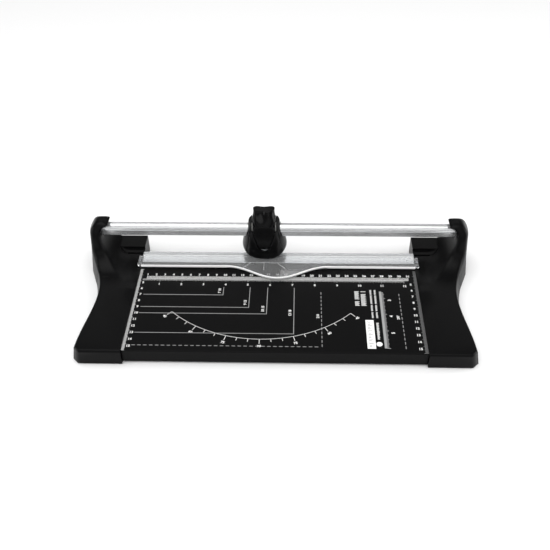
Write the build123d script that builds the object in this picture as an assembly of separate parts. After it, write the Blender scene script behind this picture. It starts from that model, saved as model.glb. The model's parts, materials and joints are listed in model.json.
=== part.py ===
from build123d import *
import os

# Rotary paper trimmer: a printed cutting table between two end caps, a rail, and a sliding blade head.
#
# Model frame, in millimetres: X runs along the cut, 0 at the middle of the table. Y is 0 on the cut
# line and grows towards the back. Z is 0 on the desk. On export every piece moves back by CUT_Y, which
# puts the middle of the whole object's footprint at the origin.

os.makedirs("parts", exist_ok=True)

# ---- table -------------------------------------------------------------------------------------
HALF_WIDTH = 160.0        # table, from its middle to each side fence
TABLE_Z = 18.0            # working surface above the desk
TABLE_FRONT = -157.0
TABLE_BACK = -15.3        # where the steel table meets the cutting bar
SHEET = 2.0               # steel of the table
TABLE_TUCK = 10.0         # table edge held inside each cap
TUCK_BACK = -28.0         # back end of the held edge
TABLE_LIP_Z = 2.2         # lower edge of the folded lips
BAR_FRONT = -15.0         # aluminium cutting bar under the cut line
BAR_BACK = 6.0
BAR_LOW = 4.0
MAT_HALF = 2.0            # cutting mat let into the bar, centred under the blade
MAT_DEPTH = 1.6
FOOT_HEIGHT = 1.0         # plastic underside above the desk

# ---- end caps ----------------------------------------------------------------------------------
CAP_TOP = 20.0            # flat top of a cap, a 2 mm fence above the table
CAP_FRONT = -160.0
CAP_BACK = 31.0
COLUMN_TOP = 66.5
DECK_Z = 23.0             # block under the rail
WALL = 2.6
CREST_ROUND = 3.0         # rounding of the rim
BLADE_SLOT = (-0.8, 1.6)  # run-off slot for the blade, from and to along Y
CUT_Y = -(CAP_FRONT + CAP_BACK) / 2

# ---- rail --------------------------------------------------------------------------------------
RAIL_Y = 10.0
RAIL_Z = 51.0
RAIL_DEPTH = 12.0
RAIL_HEIGHT = 14.0
RAIL_WALL = 2.0
RAIL_REACH = HALF_WIDTH + 55.0

# ---- hold-down strip ---------------------------------------------------------------------------
STRIP_BACK = -0.4
STRIP_FRONT = -25.0
STRIP_LOW = 20.2
STRIP_HIGH = 23.0
STRIP_REACH = HALF_WIDTH + 3.8
STRIP_TRAVEL = 2.0
WAVE_HALF = 58.0          # half length of the finger bulge in the strip
WAVE_DEPTH = 20.0
TAB_PIN_X = HALF_WIDTH + 1.9
TAB_PIN_Y = -17.0

# ---- blade head --------------------------------------------------------------------------------
HEAD_X = -16.0            # parked place of the head along the rail
BLADE_RADIUS = 14.0
BLADE_THICK = 0.6
BLADE_Y = 0.4             # middle plane of the blade
PRESS_TRAVEL = 2.5
BLADE_Z = TABLE_Z + 0.1 + PRESS_TRAVEL + BLADE_RADIUS
HEAD_LOW = 23.5           # lowest edge of the head's covers
HEAD_TOP = 78.0
SPLIT_Y = 1.6             # front cover and rear cover meet here
ROLLER_RADIUS = 4.0
ROLLER_SPREAD = 9.0       # roller axes, each side of the head's middle
ROLLER_Z = STRIP_HIGH + 0.6 + ROLLER_RADIUS
RUNNING = 0.05            # radial clearance on pins
FREE = 0.3                # gap between pieces that move past each other
GUIDE_X = 14.6            # guides of the blade holder, each side of the head's middle
GUIDE_TOP = 42.0
FRAME_HALF = 15.0
BUTTON_LOW = 61.8 + PRESS_TRAVEL
SPRING_X = 8.5            # press springs, each side of the head's middle
SPRING_Y = 10.5
SPRING_LOW = 60.0
SPRING_HIGH = 66.0

# ---- screws and feet: places as (out from the fence, Y) or (Y, Z) ------------------------------
RAIL_SCREW_X = HALF_WIDTH + 50.5
BOARD_SCREW_X = HALF_WIDTH + 6.6
BOARD_SCREW_Y = (-138.0, -48.0)
BAR_SCREWS = ((-11.0, 10.0), (2.0, 10.0))
CAP_SCREWS = ((30.0, -128.0), (28.0, -46.0))
FOOT_SPOTS = ((24.0, -146.0), (40.0, 14.0))
COVER_SCREW_X = 8.0
COVER_SCREW_Z = 35.0
COVER_SEAT_Y = 22.9       # bottom of the recess for a cover screw's head


def block(x0, x1, y0, y1, z0, z1):
    """Box between two corners."""
    size = (x1 - x0, y1 - y0, z1 - z0)
    return Pos((x0 + x1) / 2, (y0 + y1) / 2, (z0 + z1) / 2) * Box(*size)


def rod(radius, start, end):
    """Round bar along one axis, from one centre point to another."""
    path = Vector(*end) - Vector(*start)
    plane = Plane(origin=start, z_dir=path.normalized())
    return extrude(plane * Circle(radius), amount=path.length)


def outline_x(points, x0, x1):
    """Straight-sided outline of (Y, Z) points, extruded along X."""
    face = make_face(Polyline(*[(x0, y, z) for y, z in points], close=True))
    return extrude(face, amount=x1 - x0, dir=(1, 0, 0))


def joined(*curves):
    """One closed wire from curves that follow each other."""
    return Wire([edge for curve in curves for edge in curve.edges()])


def moved_back(shape):
    """Shape in the export frame, origin under the middle of the footprint."""
    return Pos(0, CUT_Y, 0) * shape


def save(name, *solids):
    """Write one node: a single solid, or a group of separate ones."""
    shape = solids[0] if len(solids) == 1 else Compound(children=list(solids))
    export_step(moved_back(shape), f"parts/{name}.step")


def mirrored(shape):
    """The same piece on the left side."""
    return mirror(shape, about=Plane.YZ)


# ---- table pieces ------------------------------------------------------------------------------
def base_board():
    """Folded steel table: top, front and rear lips and two ribs under it."""
    lip = HALF_WIDTH - 0.4
    reach = HALF_WIDTH + TABLE_TUCK
    under = TABLE_Z - SHEET
    top = block(-reach, reach, TABLE_FRONT, TUCK_BACK, under, TABLE_Z)
    top += block(-HALF_WIDTH + 0.3, HALF_WIDTH - 0.3, TUCK_BACK - 1, TABLE_BACK, under, TABLE_Z)
    front = block(-lip, lip, TABLE_FRONT, TABLE_FRONT + SHEET, TABLE_LIP_Z, under)
    rear = block(-lip, lip, TABLE_BACK - SHEET, TABLE_BACK, BAR_LOW, under)
    board = top + front + rear
    for rib_y in (-62.0, -110.0):
        board += block(-lip, lip, rib_y - 1, rib_y + 1, 9.0, under)
    nose = [e for e in board.edges().filter_by(Axis.X)
            if abs(e.center().Y - TABLE_FRONT) < 0.1 and abs(e.center().Z - TABLE_Z) < 0.1]
    board = fillet(nose, 1.2)
    for x in (-1, 1):
        for y in BOARD_SCREW_Y:
            board -= rod(1.3, (x * BOARD_SCREW_X, y, under - 1), (x * BOARD_SCREW_X, y, TABLE_Z - 0.5))
    return board


def cutting_bar():
    """Hollow aluminium bar under the cut line, with a groove for the mat."""
    reach = HALF_WIDTH - 0.3
    bar = block(-reach, reach, BAR_FRONT, BAR_BACK, BAR_LOW, TABLE_Z)
    bar = chamfer(bar.edges().filter_by(Axis.X).group_by(Axis.Z)[-1], 0.4)
    hollow = block(-reach - 1, reach + 1, BAR_FRONT + 2, BAR_BACK - 2, BAR_LOW + 2, TABLE_Z - 3.6)
    groove = block(-reach - 1, reach + 1, BLADE_Y - MAT_HALF, BLADE_Y + MAT_HALF, TABLE_Z - MAT_DEPTH, TABLE_Z + 1)
    bar = bar - hollow - groove
    for y, z in BAR_SCREWS:
        bar += block(-reach, reach, y - 3, y + 3, z - 3, z + 3)
        for side in (-1, 1):
            bar -= rod(1.6, (side * (reach - 14), y, z), (side * (reach + 1), y, z))
    return bar


def cutting_mat():
    """Plastic strip that the blade runs on."""
    reach = HALF_WIDTH - 0.6
    return block(-reach, reach, BLADE_Y - MAT_HALF, BLADE_Y + MAT_HALF, TABLE_Z - MAT_DEPTH, TABLE_Z - 0.02)


def strip_outline(x_reach, back, front, wave):
    """Plan of the strip: straight back, straight front with one wave at the middle."""
    shoulder = WAVE_HALF * 0.45
    bulge = Spline(
        (-WAVE_HALF, front), (0, front - wave), (WAVE_HALF, front),
        tangents=((1, 0), (1, 0), (1, 0)), tangent_scalars=(shoulder / 25, 1, shoulder / 25))
    lines = Polyline((WAVE_HALF, front), (x_reach, front), (x_reach, back), (-x_reach, back),
                     (-x_reach, front), (-WAVE_HALF, front))
    return make_face(bulge + lines)


def hold_down_strip():
    """Clear strip that presses the paper, with a tab at each end for its guide pin."""
    plan = strip_outline(HALF_WIDTH - 0.3, STRIP_BACK, STRIP_FRONT, WAVE_DEPTH)
    strip = Pos(0, 0, STRIP_LOW) * extrude(plan, amount=STRIP_HIGH - STRIP_LOW, dir=(0, 0, 1))
    top_edges = [e for e in strip.edges() if abs(e.center().Z - STRIP_HIGH) < 0.01 and e.center().Y < STRIP_BACK - 3
                 and abs(e.center().X) < HALF_WIDTH - 1]
    strip = chamfer(top_edges, 0.5)
    for side in (-1, 1):
        inner, outer = sorted((side * (HALF_WIDTH - 1), side * STRIP_REACH))
        strip += block(inner, outer, TAB_PIN_Y - 7, TAB_PIN_Y + 9, STRIP_LOW, STRIP_HIGH)
        strip -= rod(0.8 + 0.1, (side * TAB_PIN_X, TAB_PIN_Y, 15), (side * TAB_PIN_X, TAB_PIN_Y, 30))
    return strip


def strip_pin():
    """Guide pin of the right end, pressed into the cap, with a head above the tab."""
    shank = rod(0.8, (TAB_PIN_X, TAB_PIN_Y, 6.0), (TAB_PIN_X, TAB_PIN_Y, STRIP_HIGH + 0.25))
    head = rod(1.5, (TAB_PIN_X, TAB_PIN_Y, STRIP_HIGH + 0.25), (TAB_PIN_X, TAB_PIN_Y, STRIP_HIGH + 1.0))
    return shank + head


def coil_spring(x, y, low, high, radius, wire, turns):
    """Round-wire compression spring on a vertical axis."""
    height = high - low - wire
    helix = Helix(pitch=height / turns, height=height, radius=radius)
    ring = Plane(origin=helix.position_at(0), z_dir=helix.tangent_at(0)) * Circle(wire / 2)
    return Pos(x, y, low + wire / 2) * sweep(ring, path=helix)


# ---- end cap, made for the right side ----------------------------------------------------------
def cap_outline(z, waist_front, waist, waist_rear, flare, side, corner, inset=0.0):
    """Plan wire of a cap at height z; each argument is the distance from the fence at one place."""
    front = CAP_FRONT + inset
    back = CAP_BACK - inset
    inner = HALF_WIDTH + inset
    reach = [HALF_WIDTH + d - inset for d in (corner, waist_front, waist, waist_rear, flare, side)]
    toe = Polyline((inner, front, z), (reach[0] - 6.5, front, z), (reach[0], -153.5, z))
    waist_curve = Spline((reach[0], -153.5, z), (reach[1], -120, z), (reach[2], -84, z), (reach[3], -37, z))
    heel = Polyline((reach[3], -37, z), (reach[4], -11, z))
    shoulder = Spline((reach[4], -11, z), (reach[5], 2, z), (reach[5], 22, z), (reach[5] - 5, back, z))
    rear = Polyline((reach[5] - 5, back, z), (inner, back, z), (inner, front, z))
    return joined(toe, waist_curve, heel, shoulder, rear)


def cap_flanks(inset=0.0, low=FOOT_HEIGHT, high=70.0):
    """Body of the cap between its floor outline and its narrower outline high up."""
    floor = cap_outline(low, 49.6, 46.4, 52.4, 62.6, 64.0, 53.3, inset)
    crown = cap_outline(high, 38.0, 29.0, 34.0, 54.0, 59.2, 40.0, inset)
    return loft([make_face(floor), make_face(crown)], ruled=True)


def cap_side_profile():
    """Side view of a cap: long flat top, then the column that rises at the back."""
    top = Polyline((0, CAP_FRONT, 0), (0, CAP_FRONT, CAP_TOP), (0, -64, CAP_TOP))
    rise = Spline((0, -64, CAP_TOP), (0, -28, 24.6), (0, -15.5, 35), (0, -10.5, 50), (0, -4, 61.5),
                  (0, 8, COLUMN_TOP), tangents=((0, 1, 0), (0, 1, -0.05)))
    back = Spline((0, 8, COLUMN_TOP), (0, 17, 62.5), (0, 25, 53), (0, CAP_BACK, 36),
                  tangents=((0, 1, -0.05), (0, 0.1, -1)))
    close = Polyline((0, CAP_BACK, 36), (0, CAP_BACK, 0), (0, CAP_FRONT, 0))
    face = make_face(joined(top, rise, back, close))
    return extrude(Pos(HALF_WIDTH - 5, 0, 0) * face, amount=90, dir=(1, 0, 0))


def cap_front_profile():
    """Front view of a cap: flat deck, inner sweep up the column, hood over the rail."""
    def at(out, z):
        return (HALF_WIDTH + out, -170, z)
    sweep_up = Spline(at(17, CAP_TOP), at(33, 25.5), at(43, 38), at(46.5, 51), at(44.5, 58.6), at(36.2, 60.8),
                      tangents=((1, 0, 0), (-1, 0, -0.1)))
    tip = Line(at(36.2, 60.8), at(35.8, 62.3))
    crown = Spline(at(35.8, 62.3), at(45, 66.4), at(54, 63.0), at(60, 54), at(66, 35),
                   tangents=((1, 0, 0.7), (0.2, 0, -1)))
    rest = Polyline(at(66, 35), at(70, 0), at(-5, 0), at(-5, CAP_TOP), at(17, CAP_TOP))
    face = make_face(joined(sweep_up, tip, crown, rest))
    return extrude(face, amount=210, dir=(0, 1, 0))


def seam_region(drop=0.0):
    """Everything below the joint between a cap's cover and its base."""
    points = [(-75 + drop / 0.26, -1), (10, DECK_Z - drop), (60, DECK_Z - drop), (60, -1)]
    return outline_x(points, HALF_WIDTH - 5, HALF_WIDTH + 90)


def on_crest(point):
    """True for the middle of an edge along the cap's front or outer rim, up to the column's top."""
    front = abs(point.Y - CAP_FRONT) < 0.1 and abs(point.Z - CAP_TOP) < 0.1
    outer = HALF_WIDTH + 40 < point.X < HALF_WIDTH + 58 and point.Y < 3 and point.Z > CAP_TOP - 0.1
    return front or outer


def cap_shape():
    """Whole cap before it is split and hollowed."""
    shape = cap_flanks() & cap_side_profile() & cap_front_profile()
    shape = fillet([edge for edge in shape.edges() if on_crest(edge.position_at(0.5))], CREST_ROUND)
    deck = block(HALF_WIDTH, HALF_WIDTH + 34, 9.0, CAP_BACK, CAP_TOP - 2, DECK_Z)
    slot = block(HALF_WIDTH - 1, HALF_WIDTH + 20, *BLADE_SLOT, TABLE_Z - 0.4, DECK_Z)
    return shape + deck - slot


def front_cavity():
    """Hollow under the flat top, in front of the column."""
    return cap_flanks(WALL) & block(HALF_WIDTH - 5, HALF_WIDTH + 80, CAP_FRONT, -28, -1, CAP_TOP - WALL)


def cap_cavity():
    """Whole hollow of a cap, which stays clear of the column and the strip's pin."""
    rear = cap_flanks(WALL) & block(HALF_WIDTH + 7, HALF_WIDTH + 80, -28.01, CAP_BACK, -1, TABLE_Z - 3.0)
    return front_cavity() + rear


def table_slot():
    """Room for the table's side edge."""
    return block(HALF_WIDTH - 1, HALF_WIDTH + TABLE_TUCK + 0.4, TABLE_FRONT - 0.4, TUCK_BACK + 0.3,
                 TABLE_Z - SHEET - 0.02, TABLE_Z + 0.05)


def strip_notch():
    """Open notch in the fence for the strip's tab, with a pocket for its spring."""
    notch = block(HALF_WIDTH - 1, HALF_WIDTH + 4.4, TAB_PIN_Y - 7.5, TAB_PIN_Y + 9.5, TABLE_Z - 1.0, 40)
    pocket = rod(1.85, (TAB_PIN_X, TAB_PIN_Y, 10.0), (TAB_PIN_X, TAB_PIN_Y, TABLE_Z))
    return notch + pocket


def rail_profile(grow=0.0):
    """Section of the rail: rounded top, square foot, one groove along the front face."""
    half = RAIL_DEPTH / 2 + grow
    low = RAIL_Z - RAIL_HEIGHT / 2 - grow
    arc_z = RAIL_Z + RAIL_HEIGHT / 2 - RAIL_DEPTH / 2
    left = (0, RAIL_Y - half, arc_z)
    right = (0, RAIL_Y + half, arc_z)
    crown = ThreePointArc(left, (0, RAIL_Y, arc_z + half), right)
    sides = Polyline(right, (0, RAIL_Y + half, low), (0, RAIL_Y - half, low), left)
    return make_face(joined(crown, sides))


def guide_rail():
    """Hollow aluminium extrusion that the head slides on."""
    body = extrude(Pos(-RAIL_REACH, 0, 0) * rail_profile(), amount=2 * RAIL_REACH, dir=(1, 0, 0))
    feet = [e for e in body.edges().filter_by(Axis.X) if abs(e.center().Z - RAIL_Z + RAIL_HEIGHT / 2) < 0.1]
    body = fillet(feet, 1.0)
    y0, y1, z0, z1 = rail_hollow()
    body -= block(-RAIL_REACH - 1, RAIL_REACH + 1, y0, y1, z0, z1)
    front = RAIL_Y - RAIL_DEPTH / 2
    body -= block(-RAIL_REACH - 1, RAIL_REACH + 1, front - 1, front + 0.9, RAIL_Z + 0.1, RAIL_Z + 1.3)
    for side in (-1, 1):
        body -= rod(2.2, (side * RAIL_SCREW_X, RAIL_Y, 40), (side * RAIL_SCREW_X, RAIL_Y, RAIL_Z - 2))
    return body


def rail_hollow():
    """Low and high corners of the rail's hollow, as Y and Z limits."""
    half = RAIL_DEPTH / 2 - RAIL_WALL
    return RAIL_Y - half, RAIL_Y + half, RAIL_Z - RAIL_HEIGHT / 2 + RAIL_WALL, RAIL_Z + 2.5


def rail_plug():
    """Threaded plug inside the right end of the rail, which the rail screw pulls down on."""
    y0, y1, z0, z1 = rail_hollow()
    fit = 0.05
    plug = block(HALF_WIDTH + 44, HALF_WIDTH + 54.5, y0 + fit, y1 - fit, z0 + fit, z1 - fit)
    return plug - rod(2.0, (RAIL_SCREW_X, RAIL_Y, z0 - 1), (RAIL_SCREW_X, RAIL_Y, z1 - 1.5))


def rail_screw():
    """Long screw from under the cap, up through the column into the plug."""
    z0 = rail_hollow()[2]
    shank = rod(1.98, (RAIL_SCREW_X, RAIL_Y, 6.0), (RAIL_SCREW_X, RAIL_Y, z0 + 5.5))
    return shank + screw_head(RAIL_SCREW_X, RAIL_Y, 2.6, 3.8, 3.4)


def screw_head(x, y, z, radius, height):
    """Round head with a cross recess, facing down."""
    head = rod(radius, (x, y, z), (x, y, z + height))
    for along, across in ((radius * 1.1, 0.7), (0.7, radius * 1.1)):
        head -= block(x - along / 2, x + along / 2, y - across / 2, y + across / 2, z - 1, z + height * 0.45)
    return head


def low_screw(x, y, top, bore=1.2):
    """Screw that goes up from under the cap's base to the height top."""
    return rod(bore, (x, y, 5.0), (x, y, top)) + screw_head(x, y, 2.4, 2.6, 2.6)


def screw_way(x, y, radius, head_radius):
    """Clearance hole and head recess for a screw that goes up through the base."""
    return rod(radius, (x, y, 0), (x, y, CAP_TOP)) + rod(head_radius, (x, y, 0), (x, y, 5.0))


def cap_cover():
    """Upper shell of the right cap, with the column that carries the rail."""
    cover = cap_shape() - seam_region()
    cover = cover - front_cavity() - table_slot() - strip_notch()
    for out, y in CAP_SCREWS:
        x = HALF_WIDTH + out
        cover += rod(3.6, (x, y, 8.0), (x, y, CAP_TOP - WALL + 0.2)) - seam_region()
        cover -= rod(1.2, (x, y, 7.0), (x, y, CAP_TOP - WALL))
    cover -= extrude(Pos(HALF_WIDTH + 20, 0, 0) * rail_profile(0.02), amount=35.2, dir=(1, 0, 0))
    cover -= rod(2.2, (RAIL_SCREW_X, RAIL_Y, 10), (RAIL_SCREW_X, RAIL_Y, RAIL_Z - 5))
    return cover


def cap_base():
    """Lower tray of the right cap: floor plate, rear flange, deck and bosses."""
    flange = (cap_shape() & seam_region(0.25)) - cap_cavity()
    plate = cap_flanks(WALL + 0.25) & block(HALF_WIDTH - 5, HALF_WIDTH + 80, CAP_FRONT, CAP_BACK, 0, FOOT_HEIGHT + 2.4)
    base = flange + plate
    for y in BOARD_SCREW_Y:
        base += rod(3.2, (BOARD_SCREW_X, y, FOOT_HEIGHT + 1), (BOARD_SCREW_X, y, TABLE_Z - SHEET - 0.05))
    base += rod(5.0, (RAIL_SCREW_X, RAIL_Y, FOOT_HEIGHT + 1), (RAIL_SCREW_X, RAIL_Y, TABLE_Z - 2))
    base = base - table_slot() - strip_notch()
    for y in BOARD_SCREW_Y:
        base -= screw_way(BOARD_SCREW_X, y, 1.35, 2.8)
    for out, y in CAP_SCREWS:
        base += rod(3.6, (HALF_WIDTH + out, y, FOOT_HEIGHT + 1), (HALF_WIDTH + out, y, 6.5))
        base -= screw_way(HALF_WIDTH + out, y, 1.5, 2.8)
    base -= rod(2.2, (RAIL_SCREW_X, RAIL_Y, 0), (RAIL_SCREW_X, RAIL_Y, 30))
    base -= rod(4.1, (RAIL_SCREW_X, RAIL_Y, 0), (RAIL_SCREW_X, RAIL_Y, 6.0))
    for y, z in BAR_SCREWS:
        base -= rod(1.7, (HALF_WIDTH - 1, y, z), (HALF_WIDTH + 20, y, z))
    base -= rod(0.8, (TAB_PIN_X, TAB_PIN_Y, 6.0), (TAB_PIN_X, TAB_PIN_Y, 12.0))
    for out, y in FOOT_SPOTS:
        base -= rod(7.0, (HALF_WIDTH + out, y, 0), (HALF_WIDTH + out, y, FOOT_HEIGHT + 0.8))
    return base


def bar_screw(y, z):
    """Screw through the cap's inner wall into the end of the cutting bar."""
    end = HALF_WIDTH - 12
    shank = rod(1.5, (end, y, z), (HALF_WIDTH + 7.0, y, z))
    head = rod(2.8, (HALF_WIDTH + 7.0, y, z), (HALF_WIDTH + 9.2, y, z))
    slot = block(HALF_WIDTH + 8.2, HALF_WIDTH + 10, y - 2.2, y + 2.2, z - 0.4, z + 0.4)
    return shank + head - slot


def foot(x, y):
    """Soft round pad in its recess under a cap."""
    pad = rod(6.8, (x, y, 0), (x, y, FOOT_HEIGHT + 0.78))
    return chamfer(pad.edges().group_by(Axis.Z)[0], 0.4)


# ---- blade head --------------------------------------------------------------------------------
# Each ring of the head's skin: height, half width, front, back, and how far forward it is widest.
HEAD_RINGS = (
    (HEAD_LOW, 22.4, -12.8, 20.6),
    (26.5, 24.3, -13.6, 21.8),
    (33.0, 24.0, -13.0, 22.6),
    (42.0, 22.1, -11.0, 22.8),
    (50.0, 19.9, -8.4, 22.4),
    (58.0, 17.2, -5.0, 21.6),
    (63.5, 16.0, -3.0, 20.6),
)
NECK_RINGS = (
    (50.0, 13.6, -6.2, 19.6),
    (61.0, 13.0, -3.2, 19.4),
    (66.0, 12.3, -0.2, 19.2),
    (71.0, 12.0, 5.4, 19.0),
    (76.0, 12.2, 9.8, 18.9),
    (HEAD_TOP + 2.0, 12.7, 12.6, 18.8),
)


def ring_face(z, half, front, back, inset=0.0):
    """Rounded plan section of the head at one height."""
    half, front, back = half - inset, front + inset, back - inset
    middle = max(3.0, front + 2.6)
    corner = 0.72 if front < 3.0 else 0.9
    points = [
        (0, front), (half * corner, front + (middle - front) * 0.32), (half, middle),
        (half * 0.97, back - 2.5), (half * 0.8, back), (0, back + 0.6),
        (-half * 0.8, back), (-half * 0.97, back - 2.5), (-half, middle),
        (-half * corner, front + (middle - front) * 0.32),
    ]
    curve = Spline(*[(HEAD_X + x, y, z) for x, y in points], periodic=True)
    return make_face(curve)


def skin(rings, inset=0.0):
    """Solid through a stack of plan sections."""
    return loft([ring_face(z, half, front, back, inset) for z, half, front, back in rings])


def button_window(grow=0.0):
    """Front view of the opening for the button: a wide neck that ends in a U-shaped tongue."""
    def at(dx, z):
        return (HEAD_X + dx, -40, z)
    wide = 12.4 + grow
    foot_half = 7.6 + grow
    low = 37.5 - grow
    neck = Polyline(at(-wide, 90), at(-wide, 56), at(-foot_half, 44))
    bowl = ThreePointArc(at(-foot_half, 44), at(0, low), at(foot_half, 44))
    other = Polyline(at(foot_half, 44), at(wide, 56), at(wide, 90), at(-wide, 90))
    face = make_face(joined(neck, bowl, other))
    return extrude(face, amount=38.0, dir=(0, 1, 0))


def rail_tunnel(grow):
    """Space round the rail along the head."""
    face = Pos(HEAD_X - 40, 0, 0) * rail_profile(grow)
    return extrude(face, amount=80, dir=(1, 0, 0))


def head_shell():
    """Skin of the head with its inside taken out and room for the rail."""
    shell = skin(HEAD_RINGS)
    inner_rings = [(z + (0 if i else -1.0), h, f, b) for i, (z, h, f, b) in enumerate(HEAD_RINGS)]
    hollow = skin(inner_rings, 1.8) & block(HEAD_X - 40, HEAD_X + 40, -30, 40, 0, 61.0)
    shell = shell - hollow - rail_tunnel(0.6)
    neck_way = block(HEAD_X - 14.3, HEAD_X + 14.3, -7.5, 20.6, 55, 70)
    window = button_window(FREE + 0.05)
    return shell - neck_way - window - Pos(0, 0, -PRESS_TRAVEL) * window


def front_cover():
    """Bell-shaped front half of the head, open below for the blade and rollers."""
    return head_shell() & block(HEAD_X - 40, HEAD_X + 40, -40, SPLIT_Y, 0, 90)


def rear_cover():
    """Back half of the head."""
    cover = head_shell() & block(HEAD_X - 40, HEAD_X + 40, SPLIT_Y + 0.1, 60, DECK_Z + 2.5, 90)
    for side in (-1, 1):
        x = HEAD_X + side * COVER_SCREW_X
        cover -= rod(1.35, (x, 10, COVER_SCREW_Z), (x, 40, COVER_SCREW_Z))
        cover -= rod(2.5, (x, COVER_SEAT_Y, COVER_SCREW_Z), (x, 40, COVER_SCREW_Z))
    return cover


def carriage_frame():
    """Inner frame: it wraps the rail on three sides and guides the blade holder."""
    x0, x1 = HEAD_X - FRAME_HALF, HEAD_X + FRAME_HALF
    frame = block(x0, x1, 2.2, 18.6, 28.5, 50.0)
    frame += block(HEAD_X - 13.0, HEAD_X + 13.0, 2.2, 18.0, 50.0, 60.0)
    frame -= rail_tunnel(1.1)
    for side in (-1, 1):
        x = HEAD_X + side * GUIDE_X
        frame += block(x - 0.8, x + 0.8, -3.6, -0.2, 28.5, GUIDE_TOP)
        inner, outer = sorted((HEAD_X + side * (BLADE_RADIUS + FREE), HEAD_X + side * (GUIDE_X + 0.8)))
        frame += block(inner, outer, -0.3, 4.0, 28.5, GUIDE_TOP)
    for side in (-1, 1):
        x = HEAD_X + side * COVER_SCREW_X
        frame -= rod(1.1, (x, 8, COVER_SCREW_Z), (x, 19, COVER_SCREW_Z))
        frame -= rod(1.2, (HEAD_X + side * SPRING_X, SPRING_Y, 59), (HEAD_X + side * SPRING_X, SPRING_Y, 62))
    return frame


def glide_pads():
    """Two low-friction sleeves between the frame and the rail."""
    pads = []
    for side in (-1, 1):
        x0 = HEAD_X + side * 11.0 - 3.5
        sleeve = extrude(Pos(x0, 0, 0) * rail_profile(0.95), amount=7.0, dir=(1, 0, 0))
        pads.append(sleeve - rail_tunnel(0.06))
    return pads


def cover_screw(side):
    """Small screw that holds the rear cover to the frame."""
    x = HEAD_X + side * COVER_SCREW_X
    under = COVER_SEAT_Y + 0.02
    shank = rod(1.05, (x, 10.0, COVER_SCREW_Z), (x, under, COVER_SCREW_Z))
    head = rod(2.1, (x, under, COVER_SCREW_Z), (x, under + 1.3, COVER_SCREW_Z))
    slot = block(x - 1.6, x + 1.6, under + 0.8, under + 2, COVER_SCREW_Z - 0.3, COVER_SCREW_Z + 0.3)
    return shank + head - slot


def press_button():
    """Saddle-topped button with a thumb tongue down the front of the head."""
    neck = skin(NECK_RINGS)
    tongue = (skin(HEAD_RINGS, 0.15) & button_window()) - skin(HEAD_RINGS, 2.4)
    tongue = tongue & block(HEAD_X - 20, HEAD_X + 20, -30, -0.6, 0, 62.5)
    low = BUTTON_LOW
    button = neck & block(HEAD_X - 14, HEAD_X + 14, -30, 40, low, 90)
    button += neck & block(HEAD_X - 12.4, HEAD_X + 12.4, -30, -0.9, 58, low + 1)
    for side in (-1, 1):
        inner, outer = sorted((HEAD_X + side * 7.3, HEAD_X + side * 12.4))
        button += neck & block(inner, outer, -30, SPLIT_Y - 0.2, 58, low + 1)
        x = HEAD_X + side * SPRING_X
        button -= rod(2.6, (x, SPRING_Y, low - 1), (x, SPRING_Y, SPRING_HIGH + 0.05))
    saddle = rod(44.0, (HEAD_X, -30, HEAD_TOP + 41.6), (HEAD_X, 50, HEAD_TOP + 41.6))
    top = block(HEAD_X - 40, HEAD_X + 40, -40, 60, HEAD_TOP, 100)
    return (button + tongue) - saddle - top


def blade_holder():
    """Carrier in front of the blade; it hangs from the button and slides between the guides."""
    half = GUIDE_X - 0.8 - FREE
    plate = block(HEAD_X - half, HEAD_X + half, -3.4, -0.6, 30.0, 52.0) & skin(HEAD_RINGS, 2.6)
    arm = block(HEAD_X - 7.0, HEAD_X + 7.0, -0.85, 1.0, 50.5, BUTTON_LOW)
    holder = plate + arm
    for side in (-1, 1):
        x = HEAD_X + side * ROLLER_SPREAD
        holder += block(x - 2.2, x + 2.2, -3.4, -0.6, ROLLER_Z - 2.4, 33.0)
        holder -= rod(1.0, (x, -5, ROLLER_Z), (x, 3, ROLLER_Z))
    holder -= rod(1.5, (HEAD_X, -5, BLADE_Z), (HEAD_X, 3, BLADE_Z))
    return holder


def blade_disc():
    """Round steel blade with a two-sided edge and a centre hole."""
    y0, y1 = BLADE_Y - BLADE_THICK / 2, BLADE_Y + BLADE_THICK / 2
    disc = rod(BLADE_RADIUS, (HEAD_X, y0, BLADE_Z), (HEAD_X, y1, BLADE_Z))
    disc = chamfer(disc.edges().filter_by(GeomType.CIRCLE), 0.25, 1.2)
    return disc - rod(1.5 + RUNNING, (HEAD_X, y0 - 1, BLADE_Z), (HEAD_X, y1 + 1, BLADE_Z))


def blade_axle():
    """Headed pin that carries the blade."""
    pin = rod(1.48, (HEAD_X, -3.4, BLADE_Z), (HEAD_X, 1.5, BLADE_Z))
    head = rod(2.8, (HEAD_X, -4.6, BLADE_Z), (HEAD_X, -3.4, BLADE_Z))
    return pin + head


def blade_clip():
    """Retaining ring behind the blade."""
    ring = rod(2.6, (HEAD_X, 0.85, BLADE_Z), (HEAD_X, 1.4, BLADE_Z))
    return ring - rod(1.49, (HEAD_X, 0, BLADE_Z), (HEAD_X, 2, BLADE_Z))


def roller(side):
    """Small roller that runs on the strip."""
    x = HEAD_X + side * ROLLER_SPREAD
    wheel = rod(ROLLER_RADIUS, (x, -7.2, ROLLER_Z), (x, -3.8, ROLLER_Z))
    wheel = fillet(wheel.edges(), 0.5)
    return wheel - rod(1.0 + RUNNING, (x, -9, ROLLER_Z), (x, -2, ROLLER_Z))


def roller_pin(side):
    """Pin of one roller, held by the blade holder."""
    x = HEAD_X + side * ROLLER_SPREAD
    return rod(0.98, (x, -7.5, ROLLER_Z), (x, -0.8, ROLLER_Z)) + rod(1.7, (x, -8.1, ROLLER_Z), (x, -7.4, ROLLER_Z))


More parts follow.
